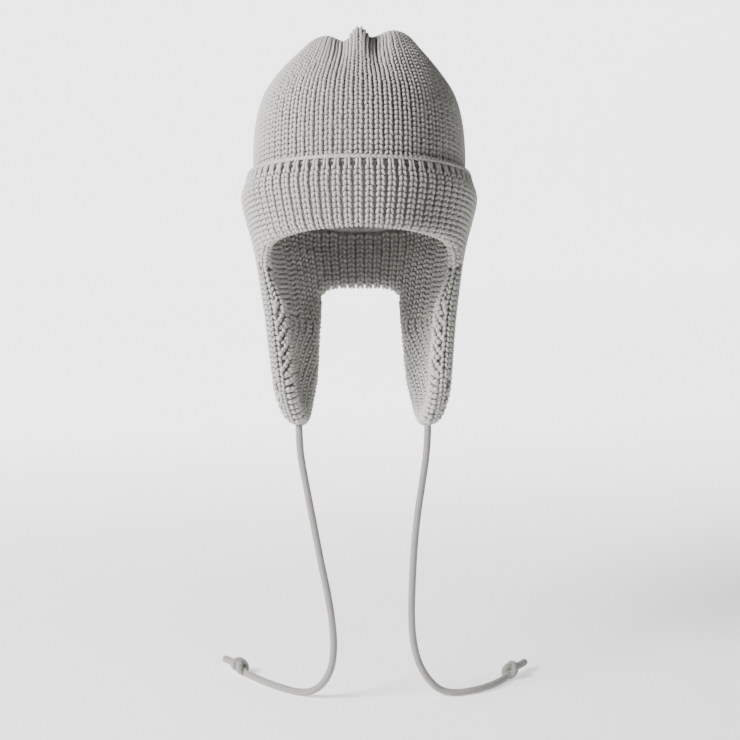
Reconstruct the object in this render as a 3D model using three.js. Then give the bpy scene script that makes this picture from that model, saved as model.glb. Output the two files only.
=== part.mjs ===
import * as THREE from "three";

// A knitted aviator hat in the form it has when worn, in mm, +Z up and the face toward -Y.
// The knitted body is drawn in its own upright frame, whose height 0 is the band's top edge, and
// is then leaned back as a whole. Angles run round the body from the front toward the wearer's left.

// Knit
const ribCount = 68;
const ribRelief = 1.6;
const seamGap = 0.3;

// Crown
const crownHalfWidth = 79;
const crownHalfDepth = 101;
const crownHeight = 112;
const crownWall = 5;
const crownTuck = 16;
const gatherSetback = 9;
const ridgeHalfWidth = 4.2;
const backPanelSag = 12;
const frontPanelSag = 0.4;
const leftPanelLift = 3.8;
const frontCrease = 7.5;
const creasePlace = 14;
const creaseHalfWidth = 9;
const frontRidgeRise = 2.6;
const sideRidgeSag = 3;
const gatherSag = 8;
const browFlatness = 4;

// Turned-up band and ear flaps
const bandHalfWidth = 88;
const bandHalfDepth = 104.5;
const bandWall = 12;
const sideLift = 6;
const jointDrop = 70;
const flapDrop = 177;
const flapPuff = 7;
const flapPuffReach = 20;
const edgeRounding = 9;
const flapSway = 3;

// Cords and knots
const cordDiameter = 5.5;
const knotDiameter = 13;
const knotLength = 15;
const tailLength = 16;

// How the hat is worn
const leanBack = THREE.MathUtils.degToRad(20);
const seatDrop = 28;

// The crown's sections along its ridges: height above the band's edge as a share of crownHeight,
// width and depth as shares of the half sizes
const crownRows = [
  { height: 0.006, width: 1.0, depth: 1.0, columns: 2 },
  { height: 0.03, width: 1.0, depth: 1.0, columns: 2 },
  { height: 0.14, width: 1.0, depth: 0.993, columns: 2 },
  { height: 0.27, width: 0.993, depth: 0.968, columns: 2 },
  { height: 0.4, width: 0.972, depth: 0.925, columns: 2 },
  { height: 0.53, width: 0.93, depth: 0.865, columns: 2 },
  { height: 0.65, width: 0.868, depth: 0.79, columns: 2 },
  { height: 0.76, width: 0.785, depth: 0.705, columns: 2 },
  { height: 0.855, width: 0.685, depth: 0.61, columns: 1 },
  { height: 0.93, width: 0.58, depth: 0.5, columns: 1 },
  { height: 0.975, width: 0.47, depth: 0.38, columns: 1 },
  { height: 0.995, width: 0.33, depth: 0.26, columns: 1 },
  { height: 0.985, width: 0.17, depth: 0.13, columns: 1 },
];
const gatherHeight = 0.945;

// The body's outer surface below the band's edge: drop as a share of flapDrop, half sizes as shares
// of the band's
const bodyLevels = [
  { drop: 0, width: 0.925, depth: 0.98 },
  { drop: 0.03, width: 0.96, depth: 0.995 },
  { drop: 0.095, width: 1.0, depth: 1.0 },
  { drop: 0.176, width: 0.967, depth: 0.986 },
  { drop: 0.26, width: 0.918, depth: 0.972 },
  { drop: 0.35, width: 0.878, depth: 0.963 },
  { drop: 0.47, width: 0.84, depth: 0.956 },
  { drop: 0.59, width: 0.806, depth: 0.946 },
  { drop: 0.71, width: 0.78, depth: 0.936 },
  { drop: 0.87, width: 0.745, depth: 0.906 },
  { drop: 1.0, width: 0.69, depth: 0.85 },
];

// Lower edge, from the face round to the nape: drop as a share of jointDrop
const faceEdge = [
  { angle: 0, drop: 0.73 },
  { angle: 24, drop: 0.745 },
  { angle: 40, drop: 0.77 },
  { angle: 55, drop: 0.8 },
  { angle: 65, drop: 0.835 },
  { angle: 73, drop: 0.9 },
  { angle: 79, drop: 1.0 },
];
const napeEdge = [
  { angle: 154, drop: 1.0 },
  { angle: 160, drop: 0.93 },
  { angle: 169, drop: 0.892 },
  { angle: 180, drop: 0.885 },
];

// Lower edge of an ear flap: drop as a share of flapDrop
const flapEdge = [
  { angle: 79, drop: 0.815 },
  { angle: 82, drop: 0.87 },
  { angle: 88, drop: 0.925 },
  { angle: 96, drop: 0.968 },
  { angle: 103, drop: 1.0 },
  { angle: 113, drop: 1.0 },
  { angle: 121, drop: 0.978 },
  { angle: 129, drop: 0.935 },
  { angle: 136, drop: 0.865 },
  { angle: 141, drop: 0.79 },
  { angle: 144, drop: 0.71 },
  { angle: 147, drop: 0.6 },
  { angle: 150, drop: 0.52 },
  { angle: 154, drop: 0.43 },
];

// Cord routes from the flap's tip down to the surface below and along it to the knot
const cordRoutes = {
  right: [
    [-45, -28.3, -148.9],
    [-44.5, -33, -156],
    [-43.5, -41, -166],
    [-41, -47, -180],
    [-38, -51, -195],
    [-33, -55, -221],
    [-28, -61, -246],
    [-23.5, -65, -267],
    [-20, -67, -290],
    [-19, -68, -310],
    [-21.5, -68, -326],
    [-28, -66.5, -338],
    [-37, -63, -345],
    [-47, -57.5, -347.2],
    [-58, -50, -347.2],
    [-69, -40, -347.2],
    [-79, -29, -347.2],
    [-87, -19, -347.2],
  ],
  left: [
    [51, -28.3, -148.9],
    [50.7, -33, -157],
    [49.5, -39, -170],
    [46.5, -45, -190],
    [43.5, -49, -210],
    [41, -53, -234],
    [39.5, -57, -262],
    [39, -60, -286],
    [40.5, -62, -306],
    [44.5, -63, -322],
    [51.5, -62.5, -335],
    [60.5, -61, -344],
    [71.5, -59.5, -347.2],
    [84, -55.5, -347.2],
    [96, -47.5, -347.2],
    [105, -38, -347.2],
    [112, -27.5, -347.2],
  ],
};

const knitColour = 0xb3b0ab;
const cordColour = 0xa5a29d;

function knitMaterial(colour) {
  return new THREE.MeshStandardMaterial({ color: colour, roughness: 0.95, metalness: 0 });
}

// Value of one column of a table at a key, straight between rows
function lookUp(table, key, column, value) {
  let next = table.findIndex((row) => row[key] >= value);
  if (next === -1) next = table.length - 1;
  if (next === 0) next = 1;
  const low = table[next - 1];
  const high = table[next];
  const share = (value - low[key]) / (high[key] - low[key]);
  return THREE.MathUtils.lerp(low[column], high[column], THREE.MathUtils.clamp(share, 0, 1));
}

// Angles in degrees
function foldedAngle(angle) {
  const turned = ((angle % 360) + 360) % 360;
  return turned > 180 ? 360 - turned : turned;
}

function ribWave(angle) {
  return 0.5 - 0.5 * Math.cos(THREE.MathUtils.degToRad(angle * ribCount));
}

function edgeLift(angle) {
  return sideLift * Math.sin(THREE.MathUtils.degToRad(angle)) ** 2;
}

function ringPoint(angle, halfWidth, halfDepth, setback, height) {
  const turn = THREE.MathUtils.degToRad(angle);
  const x = halfWidth * Math.sin(turn);
  const y = setback - halfDepth * Math.cos(turn);
  return new THREE.Vector3(x, y, height);
}

// Rings of points, each joined to the next; a ring may hold half as many points as its neighbour,
// or a single point where the solid closes on its axis
function joinRings(rings, closed) {
  const positions = [];
  const starts = [];
  for (const ring of rings) {
    starts.push(positions.length / 3);
    for (const point of ring) positions.push(point.x, point.y, point.z);
  }
  const triangles = [];
  const last = closed ? rings.length : rings.length - 1;
  for (let i = 0; i < last; i += 1) {
    const j = (i + 1) % rings.length;
    joinPair(triangles, starts[i], rings[i].length, starts[j], rings[j].length);
  }
  const geometry = new THREE.BufferGeometry();
  geometry.setAttribute("position", new THREE.Float32BufferAttribute(positions, 3));
  geometry.setIndex(triangles);
  geometry.computeVertexNormals();
  return geometry;
}

function joinPair(triangles, a, countA, b, countB) {
  const count = Math.max(countA, countB);
  const atA = (i) => a + Math.floor((i * countA) / count) % countA;
  const atB = (i) => b + Math.floor((i * countB) / count) % countB;
  for (let i = 0; i < count; i += 1) {
    const next = i + 1;
    if (atA(i) !== atA(next)) triangles.push(atA(i), atA(next), atB(next));
    if (atB(i) !== atB(next)) triangles.push(atA(i), atB(next), atB(i));
  }
}

function crownSetback(row) {
  return gatherSetback * (1 - row.depth);
}

// The crown closes in four ridges at the front, the back and the sides. The panels between them
// sag, most behind; a crease runs along each side of the front ridge, the wearer's left front panel
// stands up a little, and the brow is flattened
function panelSink(angle, row) {
  const smoothstep = THREE.MathUtils.smoothstep;
  const turn = THREE.MathUtils.degToRad(angle);
  const quarter = ((angle % 90) + 90) % 90;
  const away = THREE.MathUtils.degToRad(Math.min(quarter, 90 - quarter)) * row.width * crownHalfWidth;
  const ridge = Math.exp(-((away / (ridgeHalfWidth * (1 + 2 * row.width ** 2))) ** 2));
  const growth = smoothstep(0.9 - row.depth, 0, 0.45) * smoothstep(row.depth, 0, 0.2);
  const forward = Math.max(Math.cos(turn), 0);
  const bellAway = (away - creasePlace) / creaseHalfWidth;
  const crease = frontCrease * Math.exp(-(bellAway ** 2)) * forward ** 4;
  const lift = leftPanelLift * smoothstep(Math.sin(turn), 0.1, 0.5);
  const front = smoothstep(forward, 0, 0.7);
  const panel = THREE.MathUtils.lerp(backPanelSag, frontPanelSag - lift, front) + crease;
  const side = (sideRidgeSag + gatherSag * smoothstep(0.5 - row.width, 0, 0.25)) * Math.sin(turn) ** 8;
  const crest = side - frontRidgeRise * forward ** 8;
  const slope = smoothstep(row.depth, 0.45, 0.65) * smoothstep(0.95 - row.depth, 0, 0.2);
  return growth * (panel * (1 - ridge) + crest * ridge) + browFlatness * forward ** 2 * slope;
}

function crownOuter(angle, row) {
  const ribbed = THREE.MathUtils.smoothstep(row.height, 0.01, 0.03) * Math.min(1, row.depth * 1.4);
  const valley = ribRelief * ribbed * (1 - ribWave(angle + 180 / ribCount));
  const sink = panelSink(angle, row);
  const inset = (row.height < 0.01 ? ribRelief : valley) + sink * 0.5;
  const height = crownHeight * row.height + edgeLift(angle) * (1 - row.height) - sink;
  const width = crownHalfWidth * row.width - inset;
  const depth = crownHalfDepth * row.depth - inset;
  return ringPoint(angle, width, depth, crownSetback(row), height);
}

function crownInner(angle, row) {
  const sink = panelSink(angle, row);
  const inset = ribRelief + sink * 0.5 + crownWall * row.width;
  const lowered = sink + crownWall * Math.sqrt(1 - row.width ** 2);
  const height = crownHeight * row.height + edgeLift(angle) * (1 - row.height) - lowered;
  const width = crownHalfWidth * row.width - inset;
  const depth = crownHalfDepth * row.depth - inset;
  return ringPoint(angle, width, depth, crownSetback(row), height);
}

function ringOf(count, pointAt) {
  return Array.from({ length: count }, (_, i) => pointAt((i * 360) / count));
}

function tuckedRing(count, inset) {
  const width = crownHalfWidth - ribRelief - inset;
  const depth = crownHalfDepth - ribRelief - inset;
  return ringOf(count, (angle) => ringPoint(angle, width, depth, 0, edgeLift(angle) - crownTuck));
}

function crownGeometry() {
  const rings = [];
  const innerTop = crownHeight * gatherHeight - crownWall;
  rings.push([new THREE.Vector3(0, gatherSetback, innerTop)]);
  const innerRows = crownRows.filter((_, i) => i > 1 && i % 2 === 1).reverse();
  for (const row of innerRows) {
    rings.push(ringOf(ribCount, (angle) => crownInner(angle, row)));
  }
  rings.push(ringOf(ribCount, (angle) => crownInner(angle, crownRows[0])));
  rings.push(tuckedRing(ribCount, crownWall));
  rings.push(tuckedRing(ribCount * 2, 0));
  for (const row of crownRows) {
    rings.push(ringOf(ribCount * row.columns, (angle) => crownOuter(angle, row)));
  }
  rings.push([new THREE.Vector3(0, gatherSetback, crownHeight * gatherHeight)]);
  return joinRings(rings, false);
}

// Distance in mm from a place on the flap to the flap's own free edge
const edgeLine = [
  { angle: flapEdge[0].angle, drop: jointDrop },
  ...flapEdge.map((row) => ({ angle: row.angle, drop: row.drop * flapDrop })),
  { angle: napeEdge[0].angle, drop: jointDrop },
];

function edgeDistance(angle, drop) {
  const arc = (degrees, level) => {
    const share = level / flapDrop;
    const width = bandHalfWidth * lookUp(bodyLevels, "drop", "width", share);
    const depth = bandHalfDepth * lookUp(bodyLevels, "drop", "depth", share);
    return THREE.MathUtils.degToRad(degrees) * (width + depth) * 0.5;
  };
  const place = new THREE.Vector2(arc(angle, drop), drop);
  let nearest = Infinity;
  for (let i = 1; i < edgeLine.length; i += 1) {
    const from = new THREE.Vector2(arc(edgeLine[i - 1].angle, drop), edgeLine[i - 1].drop);
    const to = new THREE.Vector2(arc(edgeLine[i].angle, drop), edgeLine[i].drop);
    const side = to.clone().sub(from);
    const share = THREE.MathUtils.clamp(place.clone().sub(from).dot(side) / side.lengthSq(), 0, 1);
    nearest = Math.min(nearest, place.distanceTo(from.addScaledVector(side, share)));
  }
  return nearest;
}

function roundedShare(distance) {
  const short = 1 - Math.min(distance / edgeRounding, 1);
  return Math.max(Math.sqrt(1 - short * short), 0.22);
}

// A point through the body's wall: across is 1 on the outer face and -1 on the inner face, and the
// thickness is drawn in at a free edge
function wallPoint(angle, drop, across, share, wall) {
  const level = drop / flapDrop;
  const outerWidth = bandHalfWidth * lookUp(bodyLevels, "drop", "width", level);
  const outerDepth = bandHalfDepth * lookUp(bodyLevels, "drop", "depth", level);
  const headInset = ribRelief + crownWall;
  const blend = THREE.MathUtils.smoothstep(drop, crownTuck, crownTuck + 2 * bandWall);
  const innerWidth = THREE.MathUtils.lerp(crownHalfWidth - headInset, outerWidth - wall, blend);
  const innerDepth = THREE.MathUtils.lerp(crownHalfDepth - headInset, outerDepth - wall, blend);
  const toOuter = 0.5 + 0.5 * across * share;
  const width = THREE.MathUtils.lerp(innerWidth, outerWidth, toOuter);
  const depth = THREE.MathUtils.lerp(innerDepth, outerDepth, toOuter);
  const point = ringPoint(angle, width, depth, 0, edgeLift(angle) * (1 - level) - drop);
  point.x += flapSway * level ** 2;
  return point;
}

function outerRelief(point, angle, share) {
  const inset = ribRelief * share * (1 - ribWave(angle + 180 / ribCount));
  const radius = Math.hypot(point.x, point.y);
  point.x *= 1 - inset / radius;
  point.y *= 1 - inset / radius;
  return point;
}

function bandBottom(angle) {
  const folded = foldedAngle(angle);
  const faceEnd = faceEdge[faceEdge.length - 1].angle;
  if (folded <= faceEnd) return jointDrop * lookUp(faceEdge, "angle", "drop", folded);
  return jointDrop * lookUp(napeEdge, "angle", "drop", folded);
}

// How freely the band's lower edge hangs: 1 at the face and the nape, 0 where a flap carries on
function edgeFreedom(angle) {
  const folded = foldedAngle(angle);
  const faceEnd = faceEdge[faceEdge.length - 1].angle;
  const napeStart = napeEdge[0].angle;
  if (folded <= faceEnd || folded >= napeStart) return 1;
  const inside = Math.min(folded - faceEnd, napeStart - folded);
  const arc = THREE.MathUtils.degToRad(inside) * bandHalfDepth;
  return 1 - Math.min(arc / edgeRounding, 1);
}

// Rows of the band from its top edge: drop as a share of the depth at that angle, relief of the
// ribs, and the thickness kept at a free edge
const bandRows = [
  { drop: 0.0, relief: 0, kept: 1 },
  { drop: 0.045, relief: 0.2, kept: 1 },
  { drop: 0.11, relief: 1, kept: 1 },
  { drop: 0.27, relief: 1, kept: 1 },
  { drop: 0.5, relief: 1, kept: 1 },
  { drop: 0.72, relief: 1, kept: 1 },
  { drop: 0.88, relief: 1, kept: 0.93 },
  { drop: 0.965, relief: 0.7, kept: 0.66 },
  { drop: 1.0, relief: 0.2, kept: 0.25 },
];

function bandRing(count, row, across) {
  return ringOf(count, (angle) => {
    const drop = bandBottom(angle) * row.drop;
    const share = THREE.MathUtils.lerp(1, row.kept, edgeFreedom(angle));
    const point = wallPoint(angle, drop, across, share, bandWall);
    return across > 0 ? outerRelief(point, angle, row.relief) : point;
  });
}

function cuffBandGeometry() {
  const seatWidth = crownHalfWidth - ribRelief + seamGap;
  const seatDepth = crownHalfDepth - ribRelief + seamGap;
  const ledge = crownTuck + seamGap;
  const outer = bandRows.map((row) => bandRing(ribCount * 2, row, 1));
  const inner = bandRows.slice(4).reverse().map((row) => bandRing(ribCount, row, -1));
  const ledgeInner = ringOf(ribCount, (angle) => wallPoint(angle, ledge, -1, 1, bandWall));
  const ledgeOuter = ringOf(ribCount, (angle) =>
    ringPoint(angle, seatWidth, seatDepth, 0, edgeLift(angle) - ledge));
  const topInner = ringOf(ribCount, (angle) => ringPoint(angle, seatWidth, seatDepth, 0, edgeLift(angle)));
  const rings = [...outer, ...inner, ledgeInner, ledgeOuter, topInner];
  return joinRings(rings.reverse(), true);
}

// A flap is a stack of closed loops, each along the outer face to the nape side and back along the
// inner face
function earFlapGeometry(side) {
  const start = flapEdge[0].angle;
  const end = flapEdge[flapEdge.length - 1].angle;
  const columns = Math.round(((end - start) * ribCount * 2) / 360);
  const levels = [0, 0.12, 0.27, 0.42, 0.57, 0.71, 0.83, 0.92, 0.975, 1];
  const top = jointDrop + seamGap;
  const loops = levels.map((level) => {
    const loop = [];
    for (const across of [1, -1]) {
      for (let i = 0; i <= columns; i += 1) {
        const step = across > 0 ? i : columns - i;
        const angle = start + ((end - start) * step) / columns;
        const bottom = flapDrop * lookUp(flapEdge, "angle", "drop", angle);
        const drop = THREE.MathUtils.lerp(top, bottom, level);
        const free = edgeDistance(angle, drop);
        const fade = THREE.MathUtils.smoothstep(drop, jointDrop, jointDrop * 1.4);
        const wall = bandWall + flapPuff * fade * Math.exp(-((free / flapPuffReach) ** 2));
        const point = wallPoint(side * angle, drop, across, roundedShare(free), wall);
        const kept = THREE.MathUtils.smoothstep(free, 0, edgeRounding);
        loop.push(across > 0 ? outerRelief(point, side * angle, kept) : point);
      }
    }
    return loop;
  });
  return stackLoops(side > 0 ? loops : loops.map((loop) => loop.slice().reverse()));
}

// Loops whose first half faces its second half, closed at the top and the bottom by strips
function stackLoops(loops) {
  const count = loops[0].length;
  const positions = [];
  for (const loop of loops) {
    for (const point of loop) positions.push(point.x, point.y, point.z);
  }
  const triangles = [];
  for (let i = 0; i + 1 < loops.length; i += 1) {
    joinPair(triangles, (i + 1) * count, count, i * count, count);
  }
  const base = (loops.length - 1) * count;
  for (let i = 0; i + 1 < count / 2; i += 1) {
    const facing = count - 1 - i;
    triangles.push(i, i + 1, facing, i + 1, facing - 1, facing);
    triangles.push(base + i, base + facing, base + i + 1);
    triangles.push(base + i + 1, base + facing, base + facing - 1);
  }
  const geometry = new THREE.BufferGeometry();
  geometry.setAttribute("position", new THREE.Float32BufferAttribute(positions, 3));
  geometry.setIndex(triangles);
  geometry.computeVertexNormals();
  return geometry;
}

function cordGeometry(route) {
  const sides = 8;
  const section = new THREE.Shape();
  for (let i = 0; i < sides; i += 1) {
    const turn = (i * 2 * Math.PI) / sides;
    const x = (cordDiameter / 2) * Math.cos(turn);
    const y = (cordDiameter / 2) * Math.sin(turn);
    if (i === 0) section.moveTo(x, y);
    else section.lineTo(x, y);
  }
  const steps = Math.round(route.getLength() / (1.4 * cordDiameter));
  return new THREE.ExtrudeGeometry(section, { steps, bevelEnabled: false, extrudePath: route });
}

// An overhand knot and the cord's tail behind it, round its own axis from the knot's face
function knotGeometry() {
  const knotRadius = knotDiameter / 2;
  const cordRadius = cordDiameter / 2;
  const end = knotLength + tailLength;
  const profile = [
    [0, 0],
    [cordRadius, 0],
    [knotRadius * 0.84, knotLength * 0.16],
    [knotRadius, knotLength * 0.42],
    [knotRadius * 0.93, knotLength * 0.68],
    [cordRadius * 1.25, knotLength * 0.95],
    [cordRadius, knotLength * 1.1],
    [cordRadius, end - 1],
    [cordRadius * 0.6, end],
    [0, end],
  ];
  const geometry = new THREE.LatheGeometry(profile.map(([x, y]) => new THREE.Vector2(x, y)), 12);
  return geometry;
}

const knittedAviatorHat = new THREE.Group();

const body = new THREE.Group();
body.rotation.x = -leanBack;
body.position.set(0, seatDrop * Math.sin(leanBack), seatDrop * Math.cos(leanBack));
knittedAviatorHat.add(body);

const crown = new THREE.Mesh(crownGeometry(), knitMaterial(knitColour));
crown.name = "crown";
body.add(crown);

const cuffBand = new THREE.Mesh(cuffBandGeometry(), knitMaterial(knitColour));
cuffBand.name = "cuff_band";
body.add(cuffBand);

for (const [name, side] of [["left", 1], ["right", -1]]) {
  const flap = new THREE.Mesh(earFlapGeometry(side), knitMaterial(knitColour));
  flap.name = `ear_flap_${name}`;
  body.add(flap);

  const points = cordRoutes[name].map(([x, y, z]) => new THREE.Vector3(x, y, z));
  const route = new THREE.CatmullRomCurve3(points, false, "centripetal");
  const cord = new THREE.Mesh(cordGeometry(route), knitMaterial(cordColour));
  cord.name = `cord_${name}`;
  knittedAviatorHat.add(cord);

  const direction = route.getTangentAt(1);
  const knot = new THREE.Mesh(knotGeometry(), knitMaterial(cordColour));
  knot.name = `knot_${name}`;
  knot.position.copy(points[points.length - 1]).addScaledVector(direction, seamGap);
  knot.position.z += (knotDiameter - cordDiameter) / 2;
  knot.quaternion.setFromUnitVectors(new THREE.Vector3(0, 1, 0), direction);
  knittedAviatorHat.add(knot);
}

export default knittedAviatorHat;
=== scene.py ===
import bpy
import numpy as np
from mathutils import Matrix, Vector


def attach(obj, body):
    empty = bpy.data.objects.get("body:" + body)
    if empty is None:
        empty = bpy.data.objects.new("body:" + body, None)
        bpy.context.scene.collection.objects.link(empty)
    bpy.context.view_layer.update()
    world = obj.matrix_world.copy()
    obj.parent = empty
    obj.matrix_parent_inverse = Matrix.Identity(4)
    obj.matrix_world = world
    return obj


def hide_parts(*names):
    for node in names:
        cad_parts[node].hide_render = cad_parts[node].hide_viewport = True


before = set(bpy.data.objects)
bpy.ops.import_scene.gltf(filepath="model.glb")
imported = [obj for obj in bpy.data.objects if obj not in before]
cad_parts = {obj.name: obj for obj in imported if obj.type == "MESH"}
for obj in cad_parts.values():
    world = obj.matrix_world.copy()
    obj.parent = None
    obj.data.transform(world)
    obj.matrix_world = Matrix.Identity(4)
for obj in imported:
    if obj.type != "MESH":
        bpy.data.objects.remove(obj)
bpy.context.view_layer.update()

chance = np.random.default_rng(68)

# Lengths in mm and angles in degrees, in the hat's own upright frame: height 0 is the band's top
# edge and angle 0 is the front. World points are in metres.
MM = 0.001
LEAN = np.radians(20)
SEAT_DROP = 28
FLOOR = -350
FLOOR_GLOW = 2.6
FUZZ = 0.5
TINY = 1e-9

RIBS = 68
RIB_STEP = 360 / RIBS
ROW_PITCH = 3.9
GRAIN_DEPTH = 1.45
LEG_HALF_LENGTH = 2.3
LEG_OFFSET = 0.2
LEG_HALF_WIDTH = 0.17
LEG_SLANT = 0.48
NARROWEST_RIB = 1.1
WIDEST_RIB = 9.0

CROWN_HALF_WIDTH = 79
CROWN_HALF_DEPTH = 101
CROWN_HEIGHT = 112
CROWN_WALL = 5
CROWN_TUCK = 16
CROWN_CENTRE = np.array([0, 9, 20])
CROWN_ROW_COUNT = 74
CROWN_LINING_TOP = 0.5
CROWN_CLOTH_DEPTH = 1.9
CROWN_VALLEY_DEPTH = 1.2
RIB_RELIEF = 1.6
GATHER_SETBACK = 9
RIDGE_HALF_WIDTH = 4.2
BACK_PANEL_SAG = 12
FRONT_PANEL_SAG = 0.4
LEFT_PANEL_LIFT = 3.8
FRONT_CREASE = 7.5
CREASE_PLACE = 14
CREASE_HALF_WIDTH = 9
FRONT_RIDGE_RISE = 2.6
SIDE_RIDGE_SAG = 3
GATHER_SAG = 8
BROW_FLATNESS = 4
CROWD_START = 0.78
CROWD = 1.7

BAND_HALF_WIDTH = 88
BAND_HALF_DEPTH = 104.5
BAND_WALL = 12
SIDE_LIFT = 6
JOINT_DROP = 70
FLAP_DROP = 177
FLAP_PUFF = 7
FLAP_PUFF_REACH = 20
EDGE_ROUNDING = 9
FLAP_SWAY = 3
WELT_RADIUS = 1.7
WELT_DROP = 2.0
WELT_STITCH = 4.0
BAR_DROP = 5.4
BAR_HALF_LENGTH = 4.2
BAR_HALF_WIDTH = 1.15
BAR_HALF_DEPTH = 1.3
HOLE_DROP = 6.0
HOLE_HALF_HEIGHT = 1.9
HOLE_DEPTH = 1.6
FIRST_ROW = 7.4
LINING_RIBS = range(15, 36)
LINING_START = 92
LINING_OVERLAP = 2.4
LINING_SLANT = 0.75
LINING_BEND = 12
EDGE_CHAIN = 0.8
EDGE_STITCH = 7.4
INNER_CHAIN_START = 116
EDGE_ZONE = 2.8
FORWARD_SHIFT = 2.0
CORNER_START = 67
CORNER_END = 157
SEAM_HALF_WIDTH = 1.3
SEAM_DEPTH = 0.8
BODY_CLOTH_DEPTH = 2.3
BODY_VALLEY_DEPTH = 1.1

CORD_DIAMETER = 5.5
CORD_CHAINS = 5
CORD_ROW = 2.6
CORD_SIDES = 30
KNOT_DIAMETER = 13

# The camera and the paper sheet, in metres in the world, the lens in mm
CAMERA_PLACE = (0.008, -1.56, 0.230)
CAMERA_AIM = (0.008, -0.02, -0.108)
CAMERA_LENS = 103
SHEET_HALF_WIDTH = 3.2
SHEET_FLAT = 5.2
SHEET_RISE = 1.2

# Crown sections: height, width and depth as shares of the crown's sizes
CROWN_ROWS = np.array([
    [0.006, 1.0, 1.0], [0.03, 1.0, 1.0], [0.14, 1.0, 0.993], [0.27, 0.993, 0.968],
    [0.4, 0.972, 0.925], [0.53, 0.93, 0.865], [0.65, 0.868, 0.79], [0.76, 0.785, 0.705],
    [0.855, 0.685, 0.61], [0.93, 0.58, 0.5], [0.975, 0.47, 0.38], [0.995, 0.33, 0.26],
    [0.985, 0.17, 0.13], [0.945, 0.0, 0.0],
])

# Outer surface below the band's top edge: drop, width and depth as shares
BODY_LEVELS = np.array([
    [0, 0.925, 0.98], [0.03, 0.96, 0.995], [0.095, 1.0, 1.0], [0.176, 0.967, 0.986],
    [0.26, 0.918, 0.972], [0.35, 0.878, 0.963], [0.47, 0.84, 0.956], [0.59, 0.806, 0.946],
    [0.71, 0.78, 0.936], [0.87, 0.745, 0.906], [1.0, 0.69, 0.85],
])

# Lower edges: angle, drop as a share of JOINT_DROP (face, nape) or of FLAP_DROP (flap)
FACE_EDGE = np.array([
    [0, 0.73], [24, 0.745], [40, 0.77], [55, 0.8], [65, 0.835], [73, 0.9], [79, 1.0],
])
NAPE_EDGE = np.array([[154, 1.0], [160, 0.93], [169, 0.892], [180, 0.885]])
FLAP_EDGE = np.array([
    [79, 0.815], [82, 0.87], [88, 0.925], [96, 0.968], [103, 1.0], [113, 1.0], [121, 0.978],
    [129, 0.935], [136, 0.865], [141, 0.79], [144, 0.71], [147, 0.6], [150, 0.52], [154, 0.43],
])
FLAP_START = 79
FLAP_END = 154

# Cord routes in mm in the world, from the flap's tip to the knot
CORD_ROUTES = {
    "right": [
        [-45, -28.3, -148.9], [-44.5, -33, -156], [-43.5, -41, -166], [-41, -47, -180],
        [-38, -51, -195], [-33, -55, -221], [-28, -61, -246], [-23.5, -65, -267],
        [-20, -67, -290], [-19, -68, -310], [-21.5, -68, -326], [-28, -66.5, -338],
        [-37, -63, -345], [-47, -57.5, -347.2], [-58, -50, -347.2], [-69, -40, -347.2],
        [-79, -29, -347.2], [-87, -19, -347.2],
    ],
    "left": [
        [51, -28.3, -148.9], [50.7, -33, -157], [49.5, -39, -170], [46.5, -45, -190],
        [43.5, -49, -210], [41, -53, -234], [39.5, -57, -262], [39, -60, -286],
        [40.5, -62, -306], [44.5, -63, -322], [51.5, -62.5, -335], [60.5, -61, -344],
        [71.5, -59.5, -347.2], [84, -55.5, -347.2], [96, -47.5, -347.2], [105, -38, -347.2],
        [112, -27.5, -347.2],
    ],
}

# Strand of an overhand knot: place along the knot's axis, distance from it and turn round it
KNOT_STRAND = np.array([
    [-0.5, 3.7, 270], [3, 2.4, 268], [7.5, 1.6, 275], [11, 2.8, 325], [11.6, 3.7, 395],
    [9.8, 3.75, 465], [6.6, 3.75, 540], [3.9, 3.75, 610], [3.6, 3.7, 690], [5.6, 3.2, 765],
    [9, 1.9, 830], [12.5, 0.8, 870], [16, 0.2, 880], [21, 0.3, 900], [26, 0.2, 900],
    [30.3, 0.0, 900],
])


def smooth_table(keys, values, at):
    """Monotone cubic through a table's rows, flat past its ends (Fritsch-Carlson slopes)."""
    step = np.diff(keys)
    rise = np.diff(values) / step
    slope = np.zeros(len(keys))
    both = rise[:-1] * rise[1:]
    total = rise[:-1] + rise[1:]
    slope[1:-1] = np.where(both > 0, 2 * both / np.where(total == 0, 1, total), 0)
    slope[0], slope[-1] = rise[0], rise[-1]
    at = np.clip(at, keys[0], keys[-1])
    i = np.clip(np.searchsorted(keys, at, side="right") - 1, 0, len(step) - 1)
    t = (at - keys[i]) / step[i]
    low = values[i] * (1 + 2 * t) * (1 - t) ** 2 + slope[i] * step[i] * t * (1 - t) ** 2
    high = values[i + 1] * t * t * (3 - 2 * t) + slope[i + 1] * step[i] * t * t * (t - 1)
    return low + high


def smoothstep(value, low, high):
    """3t^2 - 2t^3 for t going from 0 at low to 1 at high."""
    t = np.clip((value - low) / (high - low), 0, 1)
    return t * t * (3 - 2 * t)


def unit(vectors):
    """Vectors divided by their lengths."""
    length = np.linalg.norm(vectors, axis=-1, keepdims=True)
    return vectors / np.maximum(length, TINY)


def facing(out, away):
    """Directions turned round where they point against the ones away from the middle."""
    return out * np.sign(np.sum(out * away, axis=1) + TINY)[:, None]


def to_world(points):
    """The hat's own frame leaned back round X and raised onto its seat, in metres."""
    c, s = np.cos(LEAN), np.sin(LEAN)
    x, y, z = points[..., 0], points[..., 1], points[..., 2]
    across = y * c + z * s + SEAT_DROP * s
    up = -y * s + z * c + SEAT_DROP * c
    return np.stack([x, across, up], axis=-1) * MM


def ring_point(angle, half_width, half_depth, setback, height):
    """Ellipse point (w sin a, setback - d cos a, height)."""
    turn = np.radians(angle)
    x = half_width * np.sin(turn)
    y = setback - half_depth * np.cos(turn)
    return np.stack(np.broadcast_arrays(x, y, height), axis=-1)


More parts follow.
